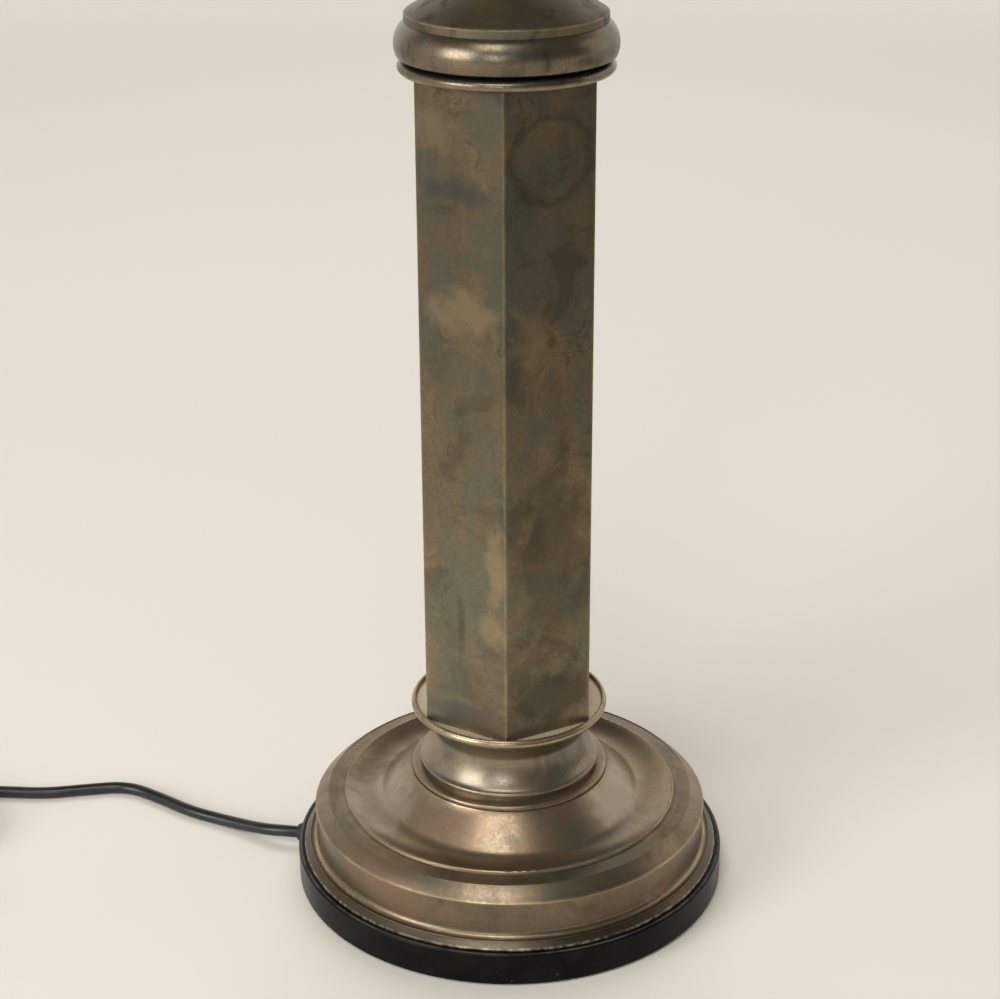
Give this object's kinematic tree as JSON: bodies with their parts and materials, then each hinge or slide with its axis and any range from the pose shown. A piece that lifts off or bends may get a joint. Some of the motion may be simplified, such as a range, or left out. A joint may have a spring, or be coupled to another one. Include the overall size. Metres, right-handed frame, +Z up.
{
  "type": "column table lamp",
  "caption": "Table lamp base: hexagonal patinated brass column on a turned round base and black plinth, with lampholder, push-bar switch, shade ring and corded plug.",
  "frame": {"origin": "centre of the underside of the felt, on the surface the lamp stands on", "axes": "+Z up along the column, -Y towards the viewer at the column's front arris, +X to the viewer's right"},
  "size_m": [0.4688, 0.2108, 0.5166],
  "materials": {
    "felt": "dark baize",
    "plinth": "black lacquer, gloss",
    "steel": "zinc plated",
    "iron": "rough cast",
    "shell_brass": "spun, brown patina, satin",
    "neck_brass": "turned, brown patina, satin",
    "dish_brass": "turned, worn rim",
    "column_brass": "mottled olive-brown patina",
    "cap_brass": "spun, brown patina, satin",
    "gap_black": "black",
    "holder_brass": "aged brass, satin",
    "contact_brass": "bright",
    "phenolic": "dark brown moulding",
    "rubber": "black, matt",
    "cord": "black sheath, satin gloss",
    "core_wire": "thin sheath",
    "plug": "black moulding",
    "pin_metal": "nickelled brass"
  },
  "bodies": {
    "lamp": {"felt_pad": "felt", "plinth": "plinth", "plinth_screws": "steel", "base_weight": "iron", "base_shell": "shell_brass", "neck_ring": "neck_brass", "neck_spool": "neck_brass", "column_dish": "dish_brass", "column_tube": "column_brass", "lower_locator": "steel", "upper_locator": "steel", "top_plate": "cap_brass", "gap_disc": "gap_black", "round_collar": "cap_brass", "dome_cap": "cap_brass", "check_ring": "cap_brass", "threaded_tube": "steel", "bottom_washer": "steel", "bottom_nut": "steel", "lock_nut": "holder_brass", "holder_cap": "holder_brass", "holder_body": "holder_brass", "holder_core": "phenolic", "terminal_screws": "contact_brass", "holder_skirt": "holder_brass", "insulating_sleeve": "phenolic", "screw_shell": "contact_brass", "centre_contact": "contact_brass", "cord_bushing": "rubber", "cord_stop": "rubber", "inner_flex": "cord", "core_wires": "core_wire", "cord": "cord", "cord_coil": "cord", "cord_tail": "cord", "plug_body": "plug", "plug_pins": "pin_metal"},
    "switch": {"switch_bar": "phenolic"},
    "ring": {"shade_ring": "holder_brass"}
  },
  "joints": [
    {"name": "switch_slide", "type": "slide", "parent": "lamp", "child": "switch", "axis": [1, 0, 0], "range_m": [0, 0.006]},
    {"name": "shade_ring_lift", "type": "slide", "parent": "lamp", "child": "ring", "axis": [0, 0, 1], "range_m": [0, 0.036]}
  ]
}
